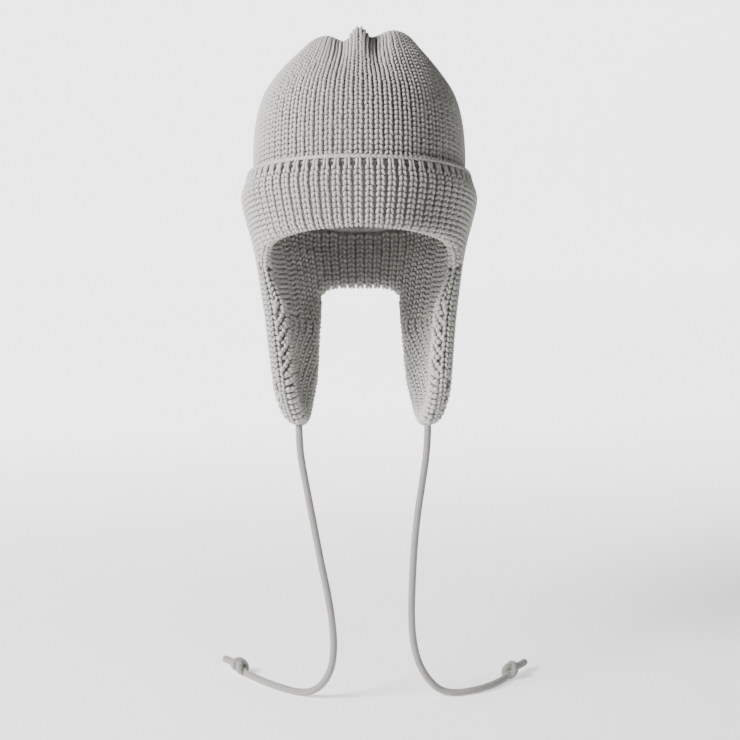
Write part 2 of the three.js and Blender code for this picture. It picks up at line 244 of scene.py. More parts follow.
def edge_lift(angle):
    """The band's top edge is 6 mm higher at the sides: lift sin^2 a."""
    return SIDE_LIFT * np.sin(np.radians(angle)) ** 2


def slot_ring(angle, inset, low):
    """Ellipse in the band's slot: the crown's sides drawn in, let down from the band's edge."""
    half_width, half_depth = CROWN_HALF_WIDTH - inset, CROWN_HALF_DEPTH - inset
    return ring_point(angle, half_width, half_depth, 0, edge_lift(angle) - low)


def folded(angle):
    """Angle from the front, 0 to 180, the same on both sides."""
    turned = np.mod(angle, 360)
    return np.where(turned > 180, 360 - turned, turned)


# Crown


def crown_profile():
    """The crown's rows against the length walked along them: length, height, width, depth."""
    run = np.diff(CROWN_ROWS[:, 2]) * CROWN_HALF_DEPTH
    rise = np.diff(CROWN_ROWS[:, 0]) * CROWN_HEIGHT
    walked = np.concatenate([[0], np.cumsum(np.hypot(run, rise))])
    return np.column_stack([walked, CROWN_ROWS])


PROFILE = crown_profile()
PROFILE_LENGTH = PROFILE[-1, 0]


def panel_sink(angle, width, depth):
    """Depth of the crown below its rows: panels sag between ridges exp(-(away / reach)^2).

    The front panel has a crease, the sides sag toward the gather and the brow is flatter.
    """
    quarter = np.mod(angle, 90)
    away = np.radians(np.minimum(quarter, 90 - quarter)) * width * CROWN_HALF_WIDTH
    ridge = np.exp(-((away / (RIDGE_HALF_WIDTH * (1 + 2 * width**2))) ** 2))
    growth = smoothstep(0.9 - depth, 0, 0.45)
    closing = smoothstep(depth, 0, 0.2)
    forward = np.maximum(np.cos(np.radians(angle)), 0)
    sideways = np.sin(np.radians(angle)) ** 2
    front = smoothstep(forward, 0, 0.7)
    fold = np.exp(-(((away - CREASE_PLACE) / CREASE_HALF_WIDTH) ** 2))
    crease = FRONT_CREASE * fold * forward**4
    lift = LEFT_PANEL_LIFT * smoothstep(np.sin(np.radians(angle)), 0.1, 0.5)
    panel = BACK_PANEL_SAG + (FRONT_PANEL_SAG - lift - BACK_PANEL_SAG) * front + crease
    side = (SIDE_RIDGE_SAG + GATHER_SAG * smoothstep(0.5 - width, 0, 0.25)) * sideways**4
    crest = side - FRONT_RIDGE_RISE * forward**8
    brow = BROW_FLATNESS * forward**2 * smoothstep(depth, 0.45, 0.65)
    brow = brow * smoothstep(0.95 - depth, 0, 0.2)
    return growth * closing * (panel * (1 - ridge) + crest * ridge) + brow


def crown_place(angle, walked):
    """Crown surface: ellipse rows of the profile, drawn in and down where the panels sink."""
    height = smooth_table(PROFILE[:, 0], PROFILE[:, 1], walked)
    width = smooth_table(PROFILE[:, 0], PROFILE[:, 2], walked)
    depth = smooth_table(PROFILE[:, 0], PROFILE[:, 3], walked)
    sink = panel_sink(angle, width, depth)
    up = CROWN_HEIGHT * height + edge_lift(angle) * (1 - height) - sink
    inset = sink * 0.5 * smoothstep(depth, 0, 0.1)
    setback = GATHER_SETBACK * (1 - depth)
    half_width = CROWN_HALF_WIDTH * width - inset
    return ring_point(angle, half_width, CROWN_HALF_DEPTH * depth - inset, setback, up)


def crown_crowding(walked):
    """How much closer ribs lie between ridges than on them: k, growing as the crown closes."""
    width = smooth_table(PROFILE[:, 0], PROFILE[:, 2], walked)
    depth = smooth_table(PROFILE[:, 0], PROFILE[:, 3], walked)
    return 0.001 + CROWD * smoothstep(CROWD_START - (width + depth) / 2, 0, 0.5)


def crown_rib_angle(rib, walked):
    """A counted rib's angle from its ridge: 45 (1 - e^-kt) / (1 - e^-k), t its share of 8.5."""
    crowding = crown_crowding(walked)
    t = np.abs(rib) / (RIBS / 8)
    return np.sign(rib) * 45 * (1 - np.exp(-crowding * t)) / (1 - np.exp(-crowding))


def crown_rib_phase(angle, walked):
    """Ribs counted from the nearest ridge's middle, the inverse of crown_rib_angle."""
    away = np.abs(angle - np.round(angle / 90) * 90) / 45
    crowding = crown_crowding(walked)
    return -np.log(1 - away * (1 - np.exp(-crowding))) / crowding * RIBS / 8


# Band and flaps


def bottom_drop(angle):
    """Drop of the lower edge at an angle, flap or not."""
    a = folded(angle)
    face = JOINT_DROP * smooth_table(FACE_EDGE[:, 0], FACE_EDGE[:, 1], a)
    nape = JOINT_DROP * smooth_table(NAPE_EDGE[:, 0], NAPE_EDGE[:, 1], a)
    flap = FLAP_DROP * smooth_table(FLAP_EDGE[:, 0], FLAP_EDGE[:, 1], a)
    return np.where(a < FLAP_START, face, np.where(a > FLAP_END, nape, flap))


def body_sizes(drop):
    """Half width and half depth of the outer surface at a drop."""
    level = drop / FLAP_DROP
    width = BAND_HALF_WIDTH * smooth_table(BODY_LEVELS[:, 0], BODY_LEVELS[:, 1], level)
    depth = BAND_HALF_DEPTH * smooth_table(BODY_LEVELS[:, 0], BODY_LEVELS[:, 2], level)
    return width, depth


def degree_arc(drop):
    """Length of one degree round the body at a drop."""
    width, depth = body_sizes(drop)
    return np.radians(1) * (width + depth) / 2


def edge_corners():
    """Corners of the whole free lower edge on one side: angle and drop."""
    face_angle = np.linspace(0, FLAP_START, 24)
    flap_angle = np.linspace(FLAP_START, FLAP_END, 60)
    nape_angle = np.linspace(FLAP_END, 180, 12)
    face = JOINT_DROP * smooth_table(FACE_EDGE[:, 0], FACE_EDGE[:, 1], face_angle)
    flap = FLAP_DROP * smooth_table(FLAP_EDGE[:, 0], FLAP_EDGE[:, 1], flap_angle)
    nape = JOINT_DROP * smooth_table(NAPE_EDGE[:, 0], NAPE_EDGE[:, 1], nape_angle)
    degrees = np.concatenate([face_angle, flap_angle, nape_angle])
    return np.column_stack([degrees, np.concatenate([face, flap, nape])])


EDGE = edge_corners()


def edge_distance(angle, drop):
    """Distance in mm along the cloth to the free edge, over all its straight pieces."""
    a, d = np.broadcast_arrays(np.asarray(folded(angle), float), np.asarray(drop, float))
    arc = degree_arc(d)
    nearest = np.full(a.shape, np.inf)
    for (a0, d0), (a1, d1) in zip(EDGE[:-1], EDGE[1:]):
        side_x, side_y = (a1 - a0) * arc, d1 - d0
        x, y = (a - a0) * arc, d - d0
        long = np.maximum(side_x**2 + side_y**2, TINY)
        t = np.clip((x * side_x + y * side_y) / long, 0, 1)
        nearest = np.minimum(nearest, np.hypot(x - t * side_x, y - t * side_y))
    return nearest


def wall_place(angle, drop, across):
    """Point through the wall: across 1 outside, -1 inside, both meeting round at the free edge."""
    angle, drop, across = np.broadcast_arrays(angle, drop, across)
    free = edge_distance(angle, drop)
    short = 1 - np.clip(free / EDGE_ROUNDING, 0, 1)
    share = np.sqrt(np.clip(1 - short**2, 0, 1))
    width, depth = body_sizes(drop)
    fade = smoothstep(drop, JOINT_DROP, JOINT_DROP * 1.4)
    wall = BAND_WALL + FLAP_PUFF * fade * np.exp(-((free / FLAP_PUFF_REACH) ** 2))
    inset = RIB_RELIEF + CROWN_WALL
    blend = smoothstep(drop, CROWN_TUCK, CROWN_TUCK + 2 * BAND_WALL)
    inner_width = (CROWN_HALF_WIDTH - inset) * (1 - blend) + (width - wall) * blend
    inner_depth = (CROWN_HALF_DEPTH - inset) * (1 - blend) + (depth - wall) * blend
    out = 0.5 + 0.5 * across * share
    level = drop / FLAP_DROP
    up = edge_lift(angle) * (1 - level) - drop
    half_width = inner_width + (width - inner_width) * out
    half_depth = inner_depth + (depth - inner_depth) * out
    point = ring_point(angle, half_width, half_depth, 0, up)
    point[..., 0] += FLAP_SWAY * level**2
    return point


def round_arc(inside):
    """Length over the rounded edge from the seam to e inside it: r acos(1 - e / r), then e."""
    turned = np.arccos(np.clip(1 - inside / EDGE_ROUNDING, -1, 1))
    quarter = EDGE_ROUNDING * np.pi / 2
    beyond = quarter + inside - EDGE_ROUNDING
    return np.where(inside < EDGE_ROUNDING, EDGE_ROUNDING * turned, beyond)


def round_inset(length):
    """Distance inside the edge after a length over its rounding, the inverse of round_arc."""
    quarter = EDGE_ROUNDING * np.pi / 2
    turned = EDGE_ROUNDING * (1 - np.cos(np.clip(length, 0, quarter) / EDGE_ROUNDING))
    return np.where(length < quarter, turned, EDGE_ROUNDING + length - quarter)


def lining_lean(drop):
    """How far the lining's ribs have leaned toward the front edge: 0.75 a mm, after a bend."""
    below = np.maximum(drop - LINING_START, 0)
    bending = below**2 / (2 * LINING_BEND)
    return LINING_SLANT * np.where(below < LINING_BEND, bending, below - LINING_BEND / 2)


def rib_shift(angle, drop):
    """Angle taken off a flap rib so that two ribs come round onto the rounded front edge."""
    a = folded(angle)
    bump = smoothstep(a, FLAP_START + 0.4, FLAP_START + 5.7) * (1 - smoothstep(a, 88, 108))
    side = np.where(np.mod(angle, 360) > 180, -1, 1)
    return side * FORWARD_SHIFT * bump * smoothstep(drop, JOINT_DROP - 8, JOINT_DROP + 14)


def flap_edge_line():
    """The flap's free edge every 0.5 mm: angle, drop, direction inward (across, down), arc."""
    face_angle = np.linspace(CORNER_START, FLAP_START, 40, endpoint=False)
    face = JOINT_DROP * smooth_table(FACE_EDGE[:, 0], FACE_EDGE[:, 1], face_angle)
    tip_angle = np.linspace(FLAP_START, FLAP_END, 400)
    tip = FLAP_DROP * smooth_table(FLAP_EDGE[:, 0], FLAP_EDGE[:, 1], tip_angle)
    front = np.linspace(JOINT_DROP, tip[0], 80, endpoint=False)
    back = np.linspace(tip[-1], JOINT_DROP, 10)[1:]
    nape_angle = np.linspace(FLAP_END, CORNER_END, 8)[1:]
    nape = JOINT_DROP * smooth_table(NAPE_EDGE[:, 0], NAPE_EDGE[:, 1], nape_angle)
    front_angle, back_angle = np.full(len(front), FLAP_START), np.full(len(back), FLAP_END)
    angle = np.concatenate([face_angle, front_angle, tip_angle, back_angle, nape_angle])
    drop = np.concatenate([face, front, tip, back, nape])
    arc = degree_arc(drop)
    middle = (arc[1:] + arc[:-1]) / 2
    walked = np.concatenate([[0], np.cumsum(np.hypot(np.diff(angle) * middle, np.diff(drop)))])
    at = np.arange(0, walked[-1], 0.5)
    angle, drop, arc = (np.interp(at, walked, part) for part in (angle, drop, arc))
    reach = 7
    window = np.ones(2 * reach + 1) / (2 * reach + 1)
    ahead = np.stack([np.gradient(angle) * arc, np.gradient(drop)])
    padded = np.pad(ahead, ((0, 0), (reach, reach)), mode="edge")
    smooth = np.stack([np.convolve(row, window, mode="valid") for row in padded])
    smooth = smooth / np.linalg.norm(smooth, axis=0)
    return np.stack([angle, drop, smooth[1], -smooth[0], arc])


# Meshes


def grid_quads(rows, columns, wrap):
    """Quads of a grid, its last column joined to the first where it wraps."""
    r = np.arange(rows - 1)[:, None] * columns
    c = np.arange(columns if wrap else columns - 1)[None, :]
    n = (c + 1) % columns
    quads = [r + c, r + columns + c, r + columns + n, r + n]
    return np.stack(quads, axis=-1).reshape(-1, 4)


def without_doubles(quads):
    """Quads kept where all four corners differ, and triangles where two of them meet."""
    following = np.roll(quads, -1, axis=1)
    same = quads == following
    whole = quads[~same.any(axis=1)]
    single = quads[same.sum(axis=1) == 1]
    where = np.argmax(single == np.roll(single, -1, axis=1), axis=1)
    order = (where[:, None] + np.array([1, 2, 3])) % 4
    triangles = np.take_along_axis(single, order, axis=1)
    return whole, triangles


def new_piece(name, points, quads, triangles, material, values=None):
    """Mesh object from whole arrays, shaded smooth, with its point values as attributes."""
    used = np.unique(np.concatenate([quads.ravel(), triangles.ravel()]))
    renumber = np.zeros(len(points), int)
    renumber[used] = np.arange(len(used))
    quads, triangles = renumber[quads], renumber[triangles]
    mesh = bpy.data.meshes.new(name)
    mesh.vertices.add(len(used))
    mesh.vertices.foreach_set("co", points[used].astype(np.float32).ravel())
    corners = np.concatenate([quads.ravel(), triangles.ravel()])
    mesh.loops.add(len(corners))
    mesh.loops.foreach_set("vertex_index", corners.astype(np.int32))
    triangle_starts = len(quads) * 4 + np.arange(len(triangles)) * 3
    starts = np.concatenate([np.arange(len(quads)) * 4, triangle_starts])
    mesh.polygons.add(len(starts))
    mesh.polygons.foreach_set("loop_start", starts.astype(np.int32))
    mesh.polygons.foreach_set("use_smooth", np.ones(len(starts), bool))
    mesh.update(calc_edges=True)
    for key, value in (values or {}).items():
        layer = mesh.attributes.new(key, "FLOAT", "POINT")
        layer.data.foreach_set("value", value[used].astype(np.float32))
    mesh.materials.append(material)
    piece = bpy.data.objects.new(name, mesh)
    bpy.context.scene.collection.objects.link(piece)
    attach(piece, "root")
    return piece


def vertex_normals(points, quads, triangles):
    """Sum of the faces' area vectors at each point, made unit length."""
    total = np.zeros_like(points)
    one = points[quads[:, 2]] - points[quads[:, 0]]
    other = points[quads[:, 3]] - points[quads[:, 1]]
    area = np.cross(one, other)
    for corner in range(4):
        np.add.at(total, quads[:, corner], area)
    if len(triangles):
        a, b, c = (points[triangles[:, i]] for i in range(3))
        area = np.cross(b - a, c - a)
        for corner in range(3):
            np.add.at(total, triangles[:, corner], area)
    return unit(total)


def grain():
    """A spindle along X from -1 to 1: rings of six at radius (1 - x^2)^0.6, closed at its tips."""
    along = np.array([-0.66, 0.0, 0.66])
    radius = (1 - along**2) ** 0.6
    turn = np.arange(6) * np.pi / 3
    x = np.repeat(along, 6)
    y = np.outer(radius, np.cos(turn)).ravel()
    z = np.outer(radius, np.sin(turn)).ravel()
    points = np.vstack([np.column_stack([x, y, z]), [[-1, 0, 0], [1, 0, 0]]])
    quads = grid_quads(3, 6, True)[:, ::-1]
    i = np.arange(6)
    n = (i + 1) % 6
    low = np.column_stack([np.full(6, 18), n, i])
    high = np.column_stack([np.full(6, 19), 12 + i, 12 + n])
    return points, quads, np.vstack([low, high])


def grains(name, centre, along, side, lift, material):
    """A grain at each centre from its half length, width and depth vectors, its tips bent in."""
    shape, quads, triangles = grain()
    points = centre[:, None] + shape[None, :, :1] * along[:, None]
    points = points + shape[None, :, 1:2] * side[:, None] + shape[None, :, 2:3] * lift[:, None]
    points = points - 0.5 * shape[None, :, :1] ** 2 * lift[:, None]
    count = len(centre)
    step = np.arange(count)[:, None, None] * len(shape)
    tone = np.repeat(chance.normal(0, 1, count), len(shape))
    all_quads = (quads[None] + step).reshape(-1, 4)
    all_triangles = (triangles[None] + step).reshape(-1, 3)
    values = {"tone": tone, "painted_shade": np.zeros(len(tone))}
    placed = to_world(points.reshape(-1, 3))
    return new_piece(name, placed, all_quads, all_triangles, material, values)


def stitch_legs(place, down, out, width, point_down):
    """Two grains a stitch, side by side, slanted so that they meet on the rib's middle line."""
    side = np.cross(down, out)
    centres, alongs, sides, lifts = [], [], [], []
    for hand in (-1, 1):
        slant = -hand if point_down else hand
        lean = unit(down + LEG_SLANT * slant * side)
        jitter = chance.normal(0, 0.02, (len(place), 1)) * width[:, None]
        centres.append(place + side * (hand * LEG_OFFSET * width[:, None] + jitter))
        stretch = 1 + chance.normal(0, 0.04, (len(place), 1))
        alongs.append(lean * LEG_HALF_LENGTH * stretch)
        across = unit(np.cross(out, lean))
        sides.append(across * LEG_HALF_WIDTH * width[:, None])
        lifts.append(out * np.minimum(GRAIN_DEPTH, 0.2 * width)[:, None])
    return [np.concatenate(part) for part in (centres, alongs, sides, lifts)]


def rows_along(path, first, pitch):
    """Shares of a dense path's length at equal pitches from its start."""
    step = np.linalg.norm(np.diff(path, axis=0), axis=1)
    walked = np.concatenate([[0], np.cumsum(step)])
    at = np.arange(first, walked[-1] - 0.3 * pitch, pitch)
    return np.interp(at, walked, np.linspace(0, 1, len(path)))


def surface_frame(place, u, v, du, dv):
    """Point, direction along v and outward direction of a surface, by small differences."""
    point = place(u, v)
    along_v = unit(place(u, v + dv) - place(u, v - dv))
    along_u = unit(place(u + du, v) - place(u - du, v))
    return point, along_v, unit(np.cross(along_u, along_v))


# Materials


def knit_material(name, colour, painted_shade_colour):
    """Matt yarn: colour varied by stitch and by a soft noise, mixed toward a darker colour by a
    point attribute as painted shade in the knit's recesses, with fuzz.
    """
    material = bpy.data.materials.new(name)
    material.use_nodes = True
    nodes, links = material.node_tree.nodes, material.node_tree.links
    shader = nodes["Principled BSDF"]
    shader.inputs["Roughness"].default_value = 0.92
    shader.inputs["Sheen Weight"].default_value = 0.25
    shader.inputs["Sheen Roughness"].default_value = 0.6
    shader.inputs["Specular IOR Level"].default_value = 0.2
    place = nodes.new("ShaderNodeTexCoord")
    cloud = nodes.new("ShaderNodeTexNoise")
    cloud.inputs["Scale"].default_value = 18
    cloud.inputs["Detail"].default_value = 3
    links.new(place.outputs["Object"], cloud.inputs["Vector"])
    tone = nodes.new("ShaderNodeAttribute")
    tone.attribute_name = "tone"
    varied = nodes.new("ShaderNodeMath")
    varied.operation = "MULTIPLY_ADD"
    varied.inputs[1].default_value = 0.05
    links.new(tone.outputs["Fac"], varied.inputs[0])
    links.new(cloud.outputs["Fac"], varied.inputs[2])
    shades = nodes.new("ShaderNodeValToRGB")
    shades.color_ramp.elements[0].position = 0.3
    shades.color_ramp.elements[1].position = 0.7
    shades.color_ramp.elements[0].color = [c * 0.93 for c in colour] + [1]
    shades.color_ramp.elements[1].color = [c * 1.05 for c in colour] + [1]
    links.new(varied.outputs[0], shades.inputs["Fac"])
    # Painted shade: the base colour is mixed toward the second, darker colour where the point
    # attribute marks recesses.
    painted_shade = nodes.new("ShaderNodeAttribute")
    painted_shade.attribute_name = "painted_shade"
    mixed = nodes.new("ShaderNodeMix")
    mixed.data_type = "RGBA"
    mixed.inputs[7].default_value = [*painted_shade_colour, 1]
    links.new(painted_shade.outputs["Fac"], mixed.inputs["Factor"])
    links.new(shades.outputs["Color"], mixed.inputs[6])
    links.new(mixed.outputs[2], shader.inputs["Base Color"])
    fuzz = nodes.new("ShaderNodeTexNoise")
    fuzz.inputs["Scale"].default_value = 1400
    fuzz.inputs["Detail"].default_value = 4
    links.new(place.outputs["Object"], fuzz.inputs["Vector"])
    relief = nodes.new("ShaderNodeBump")
    relief.inputs["Strength"].default_value = FUZZ
    relief.inputs["Distance"].default_value = 0.0004
    links.new(fuzz.outputs["Fac"], relief.inputs["Height"])
    links.new(relief.outputs["Normal"], shader.inputs["Normal"])
    return material


def floor_material():
    """Plain pale matt paper, lit from within where its glow is."""
    material = bpy.data.materials.new("pale_floor")
    material.use_nodes = True
    nodes, links = material.node_tree.nodes, material.node_tree.links
    shader = nodes["Principled BSDF"]
    shader.inputs["Base Color"].default_value = (0.92, 0.92, 0.92, 1)
    shader.inputs["Roughness"].default_value = 0.9
    shader.inputs["Emission Color"].default_value = (1, 1, 1, 1)
    glow = nodes.new("ShaderNodeAttribute")
    glow.attribute_name = "glow"
    links.new(glow.outputs["Fac"], shader.inputs["Emission Strength"])
    return material


# Camera and light


def set_camera():
    """Front view from a little above, the object's middle in the frame's middle."""
    data = bpy.data.cameras.new("camera")
    data.lens = CAMERA_LENS
    camera = bpy.data.objects.new("camera", data)
    camera.location = CAMERA_PLACE
    aim = Vector(CAMERA_AIM) - camera.location
    camera.rotation_euler = aim.to_track_quat("-Z", "Y").to_euler()
    bpy.context.scene.collection.objects.link(camera)
    bpy.context.scene.camera = camera


def area_light(name, place, aim, size, power):
    """A square soft light turned toward a point."""
    data = bpy.data.lights.new(name, "AREA")
    data.size = size
    data.energy = power
    light = bpy.data.objects.new(name, data)
    light.location = place
    light.rotation_euler = (Vector(aim) - Vector(place)).to_track_quat("-Z", "Y").to_euler()
    bpy.context.scene.collection.objects.link(light)


def set_light():
    """Soft key from the upper left, weak fill from the front and a faint white room."""
    area_light("key", (-1.54, -0.86, 1.0), (0, 0, -0.05), 0.8, 112)
    area_light("fill", (-0.7, -2.2, 0.5), (0, 0, -0.1), 1.2, 3)
    world = bpy.data.worlds.new("room")
    world.use_nodes = True
    world.node_tree.nodes["Background"].inputs["Color"].default_value = (1, 1, 1, 1)
    world.node_tree.nodes["Background"].inputs["Strength"].default_value = 0.04
    bpy.context.scene.world = world


def set_floor():
    """A wide pale sheet under the knots, glowing behind the hat.

    It runs flat, then round a quarter of 1 m radius, then straight up, its rim turned up too.
    """
    rows, columns = 80, 65
    u = np.linspace(0, 1, rows)[:, None]
    v = np.linspace(-SHEET_HALF_WIDTH, SHEET_HALF_WIDTH, columns)[None, :]
    bend = np.clip((u - 0.5) / 0.2, 0, 1) * np.pi / 2
    y = -SHEET_HALF_WIDTH + 2 * SHEET_FLAT * np.minimum(u, 0.5) + np.sin(bend) + 0 * v
    z = 1 - np.cos(bend) + 5 * np.maximum(u - 0.7, 0) + FLOOR * MM
    z = z + SHEET_RISE * np.maximum(smoothstep(np.abs(v), 2.2, 3.4), smoothstep(-y, 2.3, 3.4))
    points = np.stack([v + 0 * u, y, z], axis=-1).reshape(-1, 3)
    mesh = bpy.data.meshes.new("floor")
    mesh.from_pydata(points.tolist(), [], grid_quads(rows, columns, False)[:, ::-1].tolist())
    x, y, z = points.T
    reach = np.maximum(0.3 * (y + 1.6), 0.01)
    glow = FLOOR_GLOW * (1 - smoothstep(np.abs(x), reach, 1.7 * reach))
    glow = glow * (0.32 * smoothstep(y, -0.9, -0.3) + 0.68 * smoothstep(y, 0.1, 0.9))
    layer = mesh.attributes.new("glow", "FLOAT", "POINT")
    layer.data.foreach_set("value", (glow * (1 - smoothstep(z, 0.9, 1.5))).astype(np.float32))
    mesh.polygons.foreach_set("use_smooth", np.ones(len(mesh.polygons), bool))
    mesh.materials.append(floor_material())
    floor = bpy.data.objects.new("floor", mesh)
    bpy.context.scene.collection.objects.link(floor)


# Cords


def route_points(points, per_piece):
    """Centripetal Catmull-Rom curve through the points: cubic pieces with knots at distance^0.5."""
    p = np.array(points, float)
    p = np.vstack([2 * p[0] - p[1], p, 2 * p[-1] - p[-2]])
    gap = np.linalg.norm(np.diff(p, axis=0), axis=1)[:, None] ** 0.5
    t0, t1, t2 = gap[:-2], gap[1:-1], gap[2:]
    p0, p1, p2, p3 = p[:-3], p[1:-2], p[2:-1], p[3:]
    leave = ((p1 - p0) / t0 - (p2 - p0) / (t0 + t1) + (p2 - p1) / t1) * t1
    reach = ((p2 - p1) / t1 - (p3 - p1) / (t1 + t2) + (p3 - p2) / t2) * t1
    u = np.linspace(0, 1, per_piece, endpoint=False)[None, :, None]
    a, b, c, d = p1[:, None], p2[:, None], leave[:, None], reach[:, None]
    curve = a * (1 + 2 * u) * (1 - u) ** 2 + c * u * (1 - u) ** 2
    curve = curve + b * u * u * (3 - 2 * u) + d * u * u * (u - 1)
    return np.vstack([curve.reshape(-1, 3), p[-2]])


def even_points(points, step):
    """The same line at equal steps of its length."""
    walked = np.concatenate([[0], np.cumsum(np.linalg.norm(np.diff(points, axis=0), axis=1))])
    count = int(np.ceil(walked[-1] / step)) + 1
    at = np.linspace(0, walked[-1], count)
    return np.column_stack([np.interp(at, walked, points[:, i]) for i in range(3)])


def carried_frames(line):
    """Two directions across a line, turned as little as can be from point to point."""
    forward = unit(np.gradient(line, axis=0))
    across = np.zeros_like(line)
    seed = np.array([0.0, 1.0, 0.0]) if abs(forward[0][1]) < 0.8 else np.array([1.0, 0.0, 0.0])
    across[0] = unit(np.cross(forward[0], seed))
    for i in range(1, len(line)):
        left = across[i - 1] - forward[i] * np.dot(across[i - 1], forward[i])
        across[i] = left / np.linalg.norm(left)
    return across, np.cross(forward, across)


def knitted_tube(name, line, radius, material, ends):
    """Tube round a line: radius r (0.9 + 0.12 knit), five chains round it, a V in each row."""
    across, third = carried_frames(line)
    count, sides = len(line), CORD_SIDES
    turn = np.linspace(0, 2 * np.pi, sides, endpoint=False)[None, :]
    walked = np.linspace(0, 1, count)[:, None] * np.linalg.norm(np.diff(line, axis=0), axis=1).sum()
    chain = turn * CORD_CHAINS / (2 * np.pi)
    off = np.abs(np.mod(chain, 1) - 0.5) * 2
    row = np.mod(walked / CORD_ROW + off * 0.55, 1)
    leg = np.sin(np.pi * np.clip(off, 0.08, 0.94)) ** 0.5
    knit = np.sin(np.pi * row) ** 0.7 * (0.35 + 0.65 * leg)
    size = radius * (0.9 + 0.12 * knit)
    if ends:
        close = np.clip(np.minimum(walked, walked[-1] - walked) / (radius * 0.9), 0, 1)
        size = size * np.sqrt(np.clip(1 - (1 - close) ** 2, 0.0004, 1))
    points = line[:, None] + size[..., None] * (
        np.cos(turn)[..., None] * across[:, None] + np.sin(turn)[..., None] * third[:, None]
    )
    # Painted shade in the cord's recesses between its chains and rows, and a little on its caps.
    painted_shade = np.clip(0.55 - 0.8 * knit, 0, 1)
    quads = grid_quads(count, sides, True)[:, ::-1]
    i = np.arange(sides)
    n = (i + 1) % sides
    base = count * sides
    caps = np.vstack([
        np.column_stack([np.full(sides, base), n, i]),
        np.column_stack([np.full(sides, base + 1), base - sides + i, base - sides + n]),
    ])
    all_points = np.vstack([points.reshape(-1, 3), line[:1], line[-1:]])
    values = {"tone": np.zeros(len(all_points)), "painted_shade": np.append(painted_shade.ravel(), [0.3, 0.3])}
    return new_piece(name, all_points * MM, quads, caps, material, values)


def knot_piece(side, end, direction, material):
    """Overhand knot: one strand going in, once and a half round itself and out into the tail."""
    up = np.array([0.0, 0.0, 1.0])
    sideways = unit(np.cross(up, direction))
    upward = np.cross(direction, sideways)
    start = end + direction * 0.3 + up * (KNOT_DIAMETER - CORD_DIAMETER) / 2
    turn = np.radians(KNOT_STRAND[:, 2:3])
    round_axis = KNOT_STRAND[:, 1:2] * (np.cos(turn) * sideways + np.sin(turn) * upward)
    strand = start + KNOT_STRAND[:, :1] * direction + round_axis
    line = even_points(route_points(strand, 14), 0.5)
    knot = knitted_tube(f"knot_{side}_knit", line, CORD_DIAMETER / 2, material, True)
    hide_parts(f"knot_{side}")
    return knot


def cord_and_knot(side, material):
    """The cord from the flap's tip down to the floor and along it, with its knot and tail."""
    dense = route_points(CORD_ROUTES[side], 24)
    line = even_points(dense, 0.5)
    tube = knitted_tube(f"cord_{side}_knit", line, CORD_DIAMETER / 2 * 0.99, material, False)
    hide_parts(f"cord_{side}")
    end = unit(dense[-1] - dense[-2])
    knot = knot_piece(side, dense[-1], end, material)


# Crown pieces


def crown_cloth(material):
    """Ribbed cloth under the crown's stitches, outside and in, closed at the gather and below.

    Outside it is sunk by CROWN_CLOTH_DEPTH, a cosine more between ribs and less at the gather.
    """
    columns = RIBS * 6
    angle = np.arange(columns) * 360 / columns
    walked = PROFILE_LENGTH * (1 - np.linspace(0, 1, CROWN_ROW_COUNT) ** 1.1)[1:-1][::-1][:, None]
    outer = crown_place(angle[None, :], walked)
    phase = crown_rib_phase(angle[None, :], walked)
    rib = 0.5 + 0.5 * np.cos(2 * np.pi * phase)
    shrink = smoothstep(PROFILE_LENGTH - walked, 0, 25)
    depth = (CROWN_CLOTH_DEPTH + CROWN_VALLEY_DEPTH * (1 - rib)) * (0.3 + 0.7 * shrink)
    tuck = slot_ring(angle[None, :], RIB_RELIEF + 0.5, CROWN_TUCK * np.array([[1.0], [0.5]]))
    inner = crown_place(angle[None, :], walked[::-1])
    inner_depth = RIB_RELIEF + CROWN_WALL - 1.2 + 0.8 * rib[::-1]
    inner_low = CROWN_TUCK * np.array([[0.5], [1.0]])
    inner_tuck = slot_ring(angle[None, :], RIB_RELIEF + CROWN_WALL, inner_low)
    rows = np.concatenate([tuck, outer, inner, inner_tuck, tuck[:1]])
    inset = np.concatenate([np.zeros((2, columns)), depth, inner_depth, np.zeros((3, columns))])
    count = len(rows)
    points = rows.reshape(-1, 3)
    quads = grid_quads(count, columns, True)
    middle = 2 + len(outer) - 1
    keep = (quads[:, 0] // columns) != middle
    last = (count - 1) * columns
    quads = quads[keep]
    outer_only = quads[(quads[:, 1] // columns) <= middle]
    normals = vertex_normals(points, outer_only[:, ::-1], np.zeros((0, 3), int))
    half = normals[: (middle + 1) * columns].reshape(middle + 1, columns, 3)
    both = np.concatenate([half, half[2:][::-1], np.zeros((3, columns, 3))]).reshape(-1, 3)
    points = points - both * inset.reshape(-1, 1)
    quads = np.where(quads >= last, quads - last, quads)
    top = crown_place(np.array([0.0]), np.array([PROFILE_LENGTH]))
    pole_out, pole_in = top[0] - [0, 0, 0.6], top[0] - [0, 0, CROWN_WALL]
    i = np.arange(columns)
    n = (i + 1) % columns
    a, b = middle * columns, (middle + 1) * columns
    caps = np.vstack([
        np.column_stack([np.full(columns, len(points)), n + a, i + a]),
        np.column_stack([np.full(columns, len(points) + 1), i + b, n + b]),
    ])
    points = np.vstack([points, pole_out, pole_in])
    # Painted shade on the cloth under the stitches: full in the tuck, more between ribs, less
    # toward the gather, and on the lining and the poles.
    painted_shade = np.concatenate([np.ones((2, columns)), 0.55 + 0.45 * (1 - rib) * shrink,
                             0.3 + 0.5 * (1 - rib[::-1]), np.full((3, columns), 0.6)]).ravel()
    values = {"tone": np.zeros(len(points)), "painted_shade": np.append(painted_shade, [0.7, 0.7])}
    piece = new_piece("crown_knit", to_world(points), quads[:, ::-1], caps, material, values)
    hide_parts("crown")


